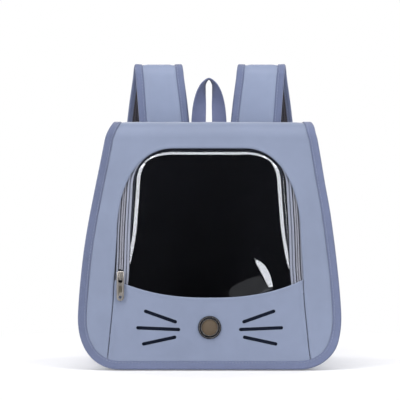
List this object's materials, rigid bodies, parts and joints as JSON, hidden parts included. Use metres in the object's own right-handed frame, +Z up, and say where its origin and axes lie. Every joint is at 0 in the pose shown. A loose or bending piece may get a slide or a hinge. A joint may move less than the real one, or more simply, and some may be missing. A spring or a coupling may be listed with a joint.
{
  "type": "pet carrier backpack",
  "caption": "Soft pet carrier backpack with a zipped clear window, a whisker-slotted lower panel, padded shoulder straps and a webbing handle.",
  "frame": {"origin": "middle of the flat underside that it stands on", "axes": "+Z up, -Y out of the front with the window, +X to the right seen from the front"},
  "size_m": [0.3424, 0.2576, 0.4087],
  "materials": {
    "fabric": "matt woven blue-grey",
    "ribbon": "matt woven tape, blue",
    "webbing": "matt woven webbing, dark blue",
    "zip_tape": "woven tape",
    "zip_coil": "satin grey",
    "nickel": "polished",
    "gunmetal": "satin black",
    "bronze_mesh": "fine mesh, bronze",
    "clear_sheet": "clear gloss",
    "dark_lining": "matt dark",
    "dark_mesh": "matt mesh, dark",
    "blue_plastic": "satin"
  },
  "bodies": {
    "carrier": {"front_panel": "fabric", "lower_panel": "fabric", "lower_lining": "dark_lining", "gusset": "fabric", "gusset_lining": "dark_lining", "back_panel": "fabric", "back_lining": "dark_lining", "top_lining": "dark_lining", "front_binding": "ribbon", "back_binding": "ribbon", "zip_tape": "zip_tape", "zip_coil": "zip_coil", "window_border": "fabric", "window": "clear_sheet", "handle": "webbing", "vent_ring": "gunmetal", "vent_mesh": "bronze_mesh", "zip_slider": "nickel", "strap_right": "fabric", "strap_mesh_right": "dark_mesh", "strap_binding_outer_right": "ribbon", "strap_binding_inner_right": "ribbon", "strap_tab_right": "webbing", "adjuster_right": "blue_plastic", "lower_webbing_right": "webbing", "strap_left": "fabric", "strap_mesh_left": "dark_mesh", "strap_binding_outer_left": "ribbon", "strap_binding_inner_left": "ribbon", "strap_tab_left": "webbing", "adjuster_left": "blue_plastic", "lower_webbing_left": "webbing"},
    "pull_tab": {"zip_pull": "nickel"}
  },
  "joints": [
    {"name": "zip_pull_swing", "type": "hinge", "parent": "carrier", "child": "pull_tab", "pos_m": [-0.11589, -0.09678, 0.12005], "axis": [-1, 0, 0], "range_deg": [0, 165]}
  ]
}
